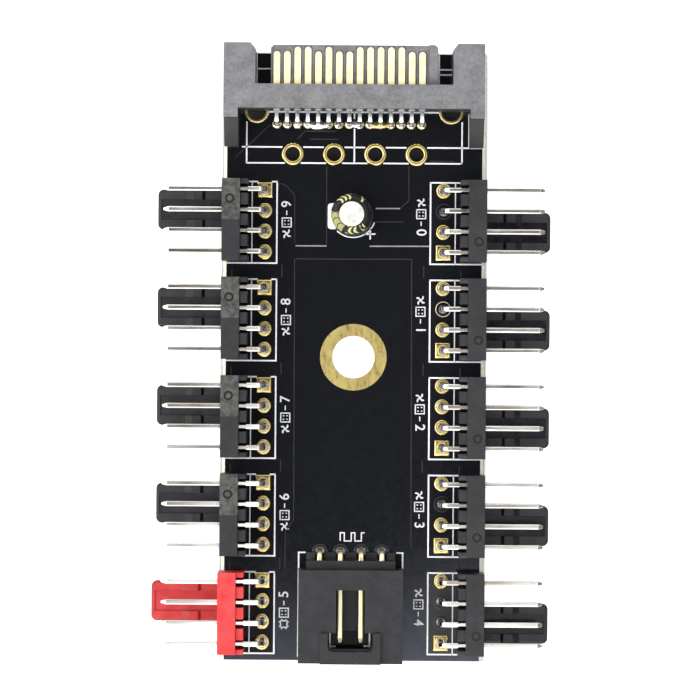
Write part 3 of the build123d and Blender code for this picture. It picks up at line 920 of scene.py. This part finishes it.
solderValues = {
    # foot radius, neck radius and height of each joint, and the seed of its waves
    "fanSolder": (0.86, 0.50, 0.85, 1),
    "controlSolder": (0.86, 0.50, 0.85, 2),
    "plugSolder": (0.52, 0.30, 0.7, 3),
    "capacitorSolder": (0.72, 0.30, 0.8, 4),
    "plugLeadSolder": (0.50, 0.22, 0.3, 5),
    "sides": 24,
    "under": boardLow[2] - 0.035,
    "over": boardTop + 0.03,
    # first and last lead, width, shift on Y and rise of each pool
    "tinPools": (
        (0, 0, 0.8, -0.12, 0.12), (1, 1, 0.8, -0.12, 0.12), (2, 2, 1.0, -0.12, 0.2),
        (3, 5, 0.95, -0.14, 0.24), (6, 6, 0.8, -0.05, 0.1), (7, 8, 0.85, -0.08, 0.14),
        (12, 12, 0.85, -0.1, 0.15), (13, 13, 0.8, -0.12, 0.12),
    ),
    "goldPools": ((9, 11, 0.85, -0.12, 0.2), (14, 14, 0.8, -0.1, 0.1)),
    "poolSeed": 7,
}


def solderPiece(name, centres, level, down=-1, wobble=0.03):
    # hollow cone: r = neck + (foot - neck) (1 - t)^2.2 at z = level + down height t, closed over the lead
    foot, neck, height, seed = solderValues[name]
    t = np.linspace(0, 1, 9)
    cone = np.stack([neck + (foot - neck) * (1 - t) ** 2.2, level + down * height * t], -1)
    close = [(neck * 0.7, level + down * (height + 0.06)), (0.02, level + down * (height + 0.07))]
    profile = np.vstack([[(0.02, level - down * 0.02)], cone, close])
    grids = turned(profile, centres, solderValues["sides"], wobble=wobble, seed=seed)
    gridPiece(name, grids, metals["solderMetal"])


def solderPools(name, spans, finish):
    # flat dome over a wavy capsule: x = middle + (length / 2) |cos t|^0.6 sign(cos t) s,
    # y = row + width (0.5 + wave(t)) sin t s, z = rise (1 - s^2)^0.5 for s from 0 to 1
    t = np.linspace(0, 2 * math.pi, 65)[:-1]
    s = np.linspace(0.04, 1.0, 9)[:, None]
    phase = np.random.default_rng(solderValues["poolSeed"]).uniform(0, 2 * math.pi, len(spans))
    grids = []
    for (first, last, width, shift, rise), turn in zip(spans, phase):
        middle = (contactX[first] + contactX[last]) / 2
        length = abs(contactX[last] - contactX[first]) + width
        x = middle + length / 2 * np.sign(np.cos(t)) * np.abs(np.cos(t)) ** 0.6 * s
        wave = 0.5 + 0.07 * np.cos(5 * t + turn) + 0.04 * np.cos(9 * t + 2 * turn)
        y = plugLeadY + shift + width * wave * np.sin(t) * s
        z = boardTop + 0.01 + rise * np.sqrt(1.0001 - s**2) + 0 * t
        grids.append(np.stack([x, y, z], -1))
    gridPiece(name, np.array(grids), finish)


solderPiece("fanSolder", fanHoles.reshape(-1, 2), solderValues["under"])
solderPiece("controlSolder", controlHoles, solderValues["under"])
solderPiece("plugSolder", plugHoles, solderValues["under"])
solderPiece("capacitorSolder", capacitorHoles, solderValues["under"])
solderPiece("plugLeadSolder", plugHoles, solderValues["over"], 1, 0.10)
solderPools("plugSolderPools", solderValues["tinPools"], metals["solderMetal"])
solderPools("plugGoldPools", solderValues["goldPools"], gold)
print("solder made")


# Square pins with rounded edges, an arc at the bend and tapered ends

pinValues = {
    "edge": 0.15,
    "bend": 0.35,
    "steps": 7,
    "taper": 0.6,
    "tip": 0.28,
    # a pin has regained kneeShare of its narrowing at kneePlace of the taper's length from the tip
    "kneePlace": 0.35,
    "kneeShare": 0.38,
    "strip": 0.05,
}


def leadPath(out, level, foot):
    # middle line: level run at height level, quarter arc of radius bend + thickness / 2, run down to foot
    taper, knee, strip = pinValues["taper"], pinValues["taper"] * pinValues["kneePlace"], pinValues["strip"]
    radius = pinValues["bend"] + pinThickness / 2
    turn = np.linspace(0, math.pi / 2, pinValues["steps"])
    arc = np.stack([radius - radius * np.sin(turn), level - radius + radius * np.cos(turn)], -1)
    head = [(out - back, level) for back in (0.0, knee, taper - strip, taper, taper + strip)]
    tail = [(0, foot + rise) for rise in (taper + strip, taper, knee, 0.0)]
    line = np.concatenate([head, arc, tail])
    small = pinValues["tip"] / pinThickness
    middle = small + (1 - small) * pinValues["kneeShare"]
    widths = np.ones(len(line))
    widths[[0, -1]] = small
    widths[[1, -2]] = middle
    widths[2] = 1 - (1 - middle) * strip / (taper - knee)
    return line, widths


def pinGroup(name, node, places, outward, finish):
    # each place is the foot of one pin; outward is the direction of its level run
    low, high = boxOf(node)
    outward = np.array([*outward, 0.0])
    tip = np.where(outward > 0, high, low)
    reach = (tip[:2] - places[0]) @ outward[:2]
    line, widths = leadPath(reach, high[2] - boardTop - pinThickness / 2, low[2] - boardTop)
    path = line[:, :1] * outward[None] + line[:, 1:] * up[None]
    grid = carried(roundedSquare(pinThickness, pinValues["edge"]), path, np.cross(up, outward), widths)
    feet = np.array([(*place, boardTop) for place in places])
    piece = gridPiece(name, grid[None] + feet[:, None, None], finish, edgeAngle=50)
    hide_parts(node)


for number, port in enumerate(ports):
    node = f"fan_header_{number}_pins"
    pinGroup(f"fanPins{number}", node, fanHoles[number], (port["side"], 0), metals["tinnedPins"])
pinGroup("controlPins", "control_header_pins", controlHoles, (0, -1), metals["goldPins"])
print("pins made")


# Moulded housings, with the mould's edge radius, and the ejector marks on the wafers' tops

housingValues = {
    "headerRadius": 0.09,
    "plugRadius": 0.12,
    "shroudRadius": 0.11,
    "redPort": 5,
    "markOut": 4.18,
    "redMarkOut": 4.38,
    "markRing": ((0.33, -0.02), (0.33, 0.006), (0.58, 0.006), (0.58, -0.02)),
}
for number in range(10):
    finish = plastics["redHeaderPlastic"] if number == housingValues["redPort"] else blackPlastic
    softened(f"fan_header_{number}_housing", f"fanHousing{number}", housingValues["headerRadius"], finish)
softened("power_plug_housing", "plugHousing", housingValues["plugRadius"], plastics["plugPlastic"])
softened("control_header_housing", "controlShroud", housingValues["shroudRadius"], plastics["shroudPlastic"])


def ejectorMarks(name, numbers, out, finish):
    # thin ring on the wafer's top, between the first two pins; its dark colour is partly painted shade of the
    # shallow ejector recess
    places = []
    for number in numbers:
        port, top = ports[number], boxOf(f"fan_header_{number}_housing")[1][2]
        places.append((port["leadX"] + port["side"] * out, port["row"] - port["side"] * pinPitch, top))
    ringPiece(name, housingValues["markRing"], places, finish, 32)


redPort = housingValues["redPort"]
blackPorts = [number for number in range(10) if number != redPort]
ejectorMarks("ejectorMarks", blackPorts, housingValues["markOut"], plastics["shadedMouldMark"])
ejectorMarks("redEjectorMark", [redPort], housingValues["redMarkOut"], plastics["shadedRedMouldMark"])
print("housings made")


# Power plug contacts: a strip with a round end, a narrower lead and a soft knee

contactValues = {
    "width": 0.82, "leadWidth": 0.46, "knee": 0.3, "edge": 0.05, "noseWidth": 0.04, "turnover": 2.6,
    "neck": (1.48, 1.3), "taper": 0.3, "footShare": 0.6,
}
contacts = contactFinish(platingValues, plugLeadY + contactValues["turnover"])


def contactPiece(index):
    # point(i, j) = path_i + a_j normal_i + b_j w_i across, over the strip, through the wall and down the lead
    low, high = contactBoxes[index]
    half, edge = contactThickness / 2, contactValues["edge"]
    level, foot, front = high[2] - half, low[2], high[1]
    radius = contactValues["knee"] + half
    turn = np.linspace(0, math.pi / 2, 7)
    arc = np.stack([plugLeadY + radius * (1 - np.sin(turn)), level - radius * (1 - np.cos(turn))], -1)
    wide, narrow = contactValues["width"] / 2, contactValues["leadWidth"] / 2
    tip = np.stack([front - wide + wide * np.cos(turn), np.full(7, level)], -1)
    tipWidth = wide * np.sin(turn)
    tipWidth[0] = contactValues["noseWidth"]
    neck = [(plugLeadY + forward, level) for forward in contactValues["neck"]]
    tail = [(plugLeadY, foot + contactValues["taper"]), (plugLeadY, foot)]
    line = np.concatenate([tip, neck, arc, tail])
    widths = [*tipWidth, wide, *np.full(len(arc) + 2, narrow), narrow * contactValues["footShare"]]
    path = np.column_stack([np.full(len(line), contactX[index]), line])
    unit = np.array([(half, 1 - edge), (half - edge, 1), (edge - half, 1), (-half, 1 - edge)])
    unit = np.concatenate([unit, -unit])
    across = np.array([1.0, 0.0, 0.0])
    normal = np.cross(across, pathFrame(path)[2])
    sideways = unit[None, :, 1, None] * np.array(widths)[:, None, None] * across
    grid = path[:, None] + unit[None, :, 0, None] * normal[:, None] + sideways
    piece = gridPiece(f"powerContact{index + 1}", grid[None], contacts, edgeAngle=40)
    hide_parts(f"power_contact_{index + 1}")


for index in range(15):
    contactPiece(index)
print("contacts made")


# Capacitor: an aluminium can in a printed sleeve

capacitorValues = {
    "shoulder": 0.75,
    "film": 0.12,
    "opening": 1.6,
    "crimp": 0.22,
    "crimpHeight": 1.5,
    "crimpWidth": 0.9,
    "dish": 0.05,
    "topRadius": 1.75,
    "lean": (-0.02, -0.016),
    "sides": 72,
}


def canOutline(values, low, high, radius):
    # straight wall with a shallow waist (a cosine dip at the crimp) and a quarter-round shoulder
    steps = np.linspace(0, 1, 9)
    waistZ = low + values["crimpHeight"] + values["crimpWidth"] * (steps - 0.5)
    waistR = radius - values["crimp"] * (0.5 - 0.5 * np.cos(2 * math.pi * steps))
    turn = np.linspace(0, math.pi / 2, 8)
    shoulderR = radius - values["shoulder"] * (1 - np.cos(turn))
    shoulderZ = high - values["shoulder"] * (1 - np.sin(turn))
    return np.column_stack([[radius, *waistR, *shoulderR], [low, *waistZ, *shoulderZ]])


def sleevePiece(values, low, high):
    # the outline and a thin rolled lip, then the same line moved in by the film's thickness
    lip = [(values["opening"] + 0.05, high[2]), (values["opening"], high[2] - 0.05)]
    outer = np.concatenate([canOutline(values, low[2], high[2], (high[0] - low[0]) / 2), lip])
    inner = outer[::-1] - values["film"]
    inner[:, 1] = np.clip(inner[:, 1], low[2], high[2])
    film = sleeveFinish(filmValues, canCentre, high[2])
    profile = np.concatenate([outer, inner])
    piece = ringPiece("capacitorSleeve", profile, [canCentre], film, values["sides"], lean=values["lean"])
    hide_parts("capacitor_sleeve")


def canPiece(values):
    # sealed below, waist under the sleeve's, round shoulder, top dished by a shallow cosine
    low, high = canLow[2], canHigh[2]
    wall = canOutline(values, low, high, (canHigh[0] - canLow[0]) / 2 - 0.01)[:-1]
    r = np.linspace(values["topRadius"], 0.0, 8)[1:]
    top = high - values["dish"] * (0.5 + 0.5 * np.cos(math.pi * np.clip(r / 1.5, 0, 1)))
    r[-1] = 0.01
    profile = np.concatenate([[(0.01, low)], wall, [(values["topRadius"], high)], np.stack([r, top], -1)])
    grids = turned(profile, [canCentre], values["sides"], lean=values["lean"])
    piece = gridPiece("capacitorCan", grids, metals["canAluminium"])
    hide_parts("capacitor_can")


sleevePiece(capacitorValues, *boxOf("capacitor_sleeve"))
canPiece(capacitorValues)
print("capacitor made")


# Printed lines on the board

printValues = {
    "line": 0.18,
    "thinLine": 0.14,
    "height": 0.014,
    # x of a port frame's inner line, of its thin line and of its outer end
    "rightFrame": (9.36, 12.42, 15.9),
    "leftFrame": (-9.52, -12.58, -15.8),
    "frameAbove": 4.82,
    "frameBelow": 5.2,
    "frameTopEnd": 13.2,
    "padGap": 0.85,
    # how far a line that closes a corner reaches past it
    "overlap": 0.08,
    # outline of the spare inlet, open at each spare hole, lines beside the plug, frame of the control header
    # and the plus sign
    "lines": (
        [(-13.3, 28.9), (-13.3, 23.82)],
        [(-13.38, 23.82), (-8.6, 23.83)],
        [(-6.64, 23.84), (-3.52, 23.84)],
        [(-1.56, 23.85), (1.56, 23.85)],
        [(3.52, 23.86), (6.64, 23.86)],
        [(8.6, 23.87), (13.26, 23.87)],
        [(13.18, 29.0), (13.18, 23.79)],
        [(-13.9, 25.79), (-8.9, 25.79)],
        [(-6.35, 25.8), (-3.81, 25.8)],
        [(-1.27, 25.8), (1.27, 25.8)],
        [(3.81, 25.8), (6.35, 25.8)],
        [(8.9, 25.81), (15.85, 25.81)],
        [(-0.06, 28.1), (-0.06, 23.9)],
        [(-0.08, 30.6), (-0.07, 29.3)],
        [(-10.9, 30.12), (10.5, 30.14)],
        [(-12.12, 37.2), (-12.12, 31.0)],
        [(10.3, 37.2), (10.3, 31.0)],
        [(-12.2, 35.41), (-9.9, 35.41)],
        [(10.4, 35.42), (12.4, 35.42)],
        [(10.4, 34.79), (12.4, 34.79)],
        [(-5.7, -24.05), (-6.55, -24.05), (-6.55, -26.0)],
        [(6.24, -26.0), (6.24, -24.05), (5.45, -24.05)],
        [(-2.63, -33.9), (-2.63, -35.57), (-1.9, -35.57)],
        [(2.24, -33.9), (2.24, -35.53), (1.5, -35.53)],
        [(1.96, 15.9), (1.96, 14.5)],
        [(1.28, 15.16), (2.62, 15.16)],
    ),
    # left side of the control header's frame, and the end of the upper long line
    "thinLines": ([(-6.57, -26.1), (-6.59, -36.9)], [(14.02, 30.0), (14.02, 25.95), (14.18, 25.8)]),
    # centre, radius and degrees of the arc round the capacitor
    "arc": ((-0.16, 17.53), 2.8, (-134, -20)),
    # the square wave above the control header: its low and high level, and where it turns
    "waveLevels": (-22.6, -21.6),
    "waveTurns": (-1.45, -0.95, -0.1, 0.35, 1.15, 1.55),
    # right edge, corner centres and corner radius of the minus block
    "minusBlock": (-2.3, (-2.85, 18.5), (-2.85, 16.15), 0.42),
}


def arcPoints(centre, radius, start, stop, count):
    turn = np.linspace(math.radians(start), math.radians(stop), count)
    return np.stack([centre[0] + radius * np.cos(turn), centre[1] + radius * np.sin(turn)], -1)


def portFrame(port):
    # the frame's corner line, its top line with a gap round the first pad on the left, and the thin line
    side, leadX, topEnd = port["side"], port["leadX"], port["side"] * printValues["frameTopEnd"]
    near, far, edge = printValues["rightFrame" if side > 0 else "leftFrame"]
    high, low = port["row"] + printValues["frameAbove"], port["row"] - printValues["frameBelow"]
    start = near - side * printValues["overlap"]
    tops = [[(start, high), (topEnd, high)]]
    if side < 0:
        gap = printValues["padGap"]
        tops = [[(start, high), (leadX + gap, high)], [(leadX - gap, high), (topEnd, high)]]
    return [[(near, high), (near, low), (edge, low)], *tops], [(far, high), (far, low)]


def squareWave(levels, turns):
    # the level changes at each turn, so each turn gives two points
    points = [(x, levels[(n + step) % 2]) for n, x in enumerate(turns) for step in (0, 1)]
    return points[:-1]


def minusBlock(edge, upper, lower, radius, height):
    # a low block with two round corners; edge is its right side, upper and lower are the corners' centres
    outline = np.concatenate([
        [(edge, upper[1] + radius)], arcPoints(upper, radius, 90, 180, 6),
        arcPoints(lower, radius, 180, 270, 6), [(edge, lower[1] - radius)],
    ])
    low = np.column_stack([outline, np.full(len(outline), boardTop)])
    gridPiece("minusBlock", np.array([[low, low + height * up]]), inks["whiteInk"], smooth=False)


marks, thinMarks = list(printValues["lines"]), list(printValues["thinLines"])
for port in ports:
    lines, thinLine = portFrame(port)
    marks += lines
    thinMarks.append(thinLine)
centre, radius, degrees = printValues["arc"]
thinMarks.append(arcPoints(centre, radius, *degrees, 40))
thinMarks.append(squareWave(printValues["waveLevels"], printValues["waveTurns"]))
stripPiece("printedLines", marks, printValues["line"], printValues["height"], inks["whiteInk"])
stripPiece("thinPrintedLines", thinMarks, printValues["thinLine"], printValues["height"], inks["whiteInk"])
minusBlock(*printValues["minusBlock"], printValues["height"])


# Labels: a fan sign, or a chip sign on port 5, then a frame round four dots, a dash and the port's number

labelValues = {
    # x of the label's middle line, and its start from the port's middle
    "right": (8.22, 3.05),
    "left": (-8.32, -2.28),
    "badge": 0.62,
    "badgeTurn": 0.3,
    "badgeAt": 0.7,
    "dash": 0.14,
    "dashAt": (3.0, 3.55),
    "figure": 1.7,
    "figureAt": 4.35,
    # half width, start and end of the frame round four dots
    "plugFrame": (0.55, 1.55, 2.65),
    # half width, places across and places along of the dots
    "plugDots": (0.09, (-0.22, 0.22), (1.88, 2.32)),
    # half width, start and end of the chip sign, and the spread and length of its legs
    "chip": (0.4, 0.3, 1.1),
    "chipLegs": (0.25, 0.22),
    "chipPort": 5,
}


def fanBadge(name, places, size, turn, finish):
    # four blades: r(t) = size (0.26 + 0.74 max(0, cos 4t)^0.55), turned by 0.75 r / size, as flat rings
    t = np.linspace(0, 2 * math.pi, 97)[:-1]
    rings = np.linspace(0.0, 1.0, 7)[1:]
    r = rings[:, None] * size * (0.26 + 0.74 * np.clip(np.cos(4 * t), 0, 1) ** 0.55)
    angle = t[None] + 0.75 * r / size + turn
    low = np.stack([r * np.cos(angle), r * np.sin(angle), np.full_like(r, boardTop)], -1).reshape(-1, 3)
    high = low + printValues["height"] * up
    columns, rows, shift = len(t), len(rings), len(low)
    grid = gridFaces(rows, columns)
    outer = (rows - 1) * columns + np.arange(columns)
    wall = np.stack([outer, np.roll(outer, -1), np.roll(outer, -1) + shift, outer + shift], -1)
    faces = np.concatenate([grid, grid[:, ::-1] + shift, wall])
    caps = [list(range(columns)), list(range(shift, shift + columns))]
    points = np.concatenate([low, high])[None] + np.array([(*place, 0.0) for place in places])[:, None]
    buildPiece(name, points, faces, finish, caps, smooth=False)


def labelPoint(port, across, along):
    # across is the distance from the label's middle line, along the distance from its start
    x, start = labelValues["right" if port["side"] > 0 else "left"]
    return x + across, port["row"] + start - port["side"] * along


def labelStrokes(port, chip):
    def at(across, along):
        return labelPoint(port, across, along)

    def frameSign(half, near, far):
        close = -half - printValues["overlap"]
        return [at(-half, near), at(-half, far), at(half, far), at(half, near), at(close, near)]

    strokes = [[at(0, along) for along in labelValues["dashAt"]], frameSign(*labelValues["plugFrame"])]
    dot, dotAcross, dotAlong = labelValues["plugDots"]
    for across in dotAcross:
        strokes += [[at(across - dot, along), at(across + dot, along)] for along in dotAlong]
    if chip:
        half, near, far = labelValues["chip"]
        spread, leg = labelValues["chipLegs"]
        strokes.append(frameSign(half, near, far))
        for offset in (-spread, spread):
            middle = (near + far) / 2 + offset
            strokes.append([at(offset, far), at(offset, far + leg)])
            strokes.append([at(offset, near), at(offset, near - leg)])
            strokes += [[at(way * half, middle), at(way * (half + leg), middle)] for way in (1, -1)]
    return strokes


badges, dashes = [], []
for number, port in enumerate(ports):
    chip = number == labelValues["chipPort"]
    turn = -port["side"] * math.pi / 2
    place = labelPoint(port, 0, labelValues["figureAt"])
    size, height = labelValues["figure"], printValues["height"]
    figurePiece(f"figure{number}", str(number), place, size, turn, height, inks["labelInk"])
    dashes += labelStrokes(port, chip)
    if not chip:
        badges.append(labelPoint(port, 0, labelValues["badgeAt"]))
fanBadge("fanBadges", badges, labelValues["badge"], labelValues["badgeTurn"], inks["labelInk"])
stripPiece("dashes", dashes, labelValues["dash"], printValues["height"], inks["labelInk"])
print("printed marks made")


# Edges of the copper under the mask: low ridges in the board's own black, and three painted pale as a painted
# glint

copperValues = {
    "width": 0.16,
    "height": 0.03,
    "topWidth": 0.08,
    "edges": (
        [(-3.38, 13.7), (-3.43, 23.4)],
        [(-7.2, 12.05), (7.1, 12.1), (7.27, -23.4)],
        [(-7.3, 12.05), (-7.2, -20.0), (-8.2, -21.5), (-8.2, -26.0)],
        [(2.75, 16.67), (6.0, 16.69)],
        [(5.61, 18.32), (6.71, 19.32), (6.68, 23.5)],
        [
            (-9.42, 21.27), (-8.9, 21.26), (-8.5, 21.1), (-8.1, 20.75), (-7.6, 20.15), (-7.35, 19.7),
            (-7.3, 14.0),
        ],
        [(-10.45, 28.5), (-14.7, 24.5)],
        [(-6.02, 27.9), (-7.12, 26.7)],
        [(-6.0, 27.77), (-2.33, 27.78)],
        [(-5.58, 26.78), (-2.02, 26.8)],
        [(9.3, 24.17), (12.3, 24.17)],
    ),
    "paintedGlints": ([(2.6, 18.31), (5.61, 18.32)], [(-7.2, 13.65), (-3.4, 13.66)], [(1.9, 13.66), (9.3, 13.7)]),
    # x of the two short edges between neighbouring ports, outer and inner
    "rightPair": (13.17, 8.6),
    "leftPair": (-15.0, -8.85),
    # their start and end below the port's middle
    "outerRows": (6.0, 7.4),
    "innerRows": (5.4, 6.9),
}
copperEdges = list(copperValues["edges"])
for port in ports:
    if port["row"] - copperValues["outerRows"][1] > boardLow[1]:
        pair = copperValues["rightPair" if port["side"] > 0 else "leftPair"]
        for x, drops in zip(pair, (copperValues["outerRows"], copperValues["innerRows"])):
            copperEdges.append([(x, port["row"] - drop) for drop in drops])
width, height, topWidth = (copperValues[key] for key in ("width", "height", "topWidth"))
stripPiece("copperEdges", copperEdges, width, height, plastics["copperEdge"], topWidth)
stripPiece("paintedGlintCopperEdge", copperValues["paintedGlints"], width, height, plastics["paintedGlintEdge"])
print("copper edges made")
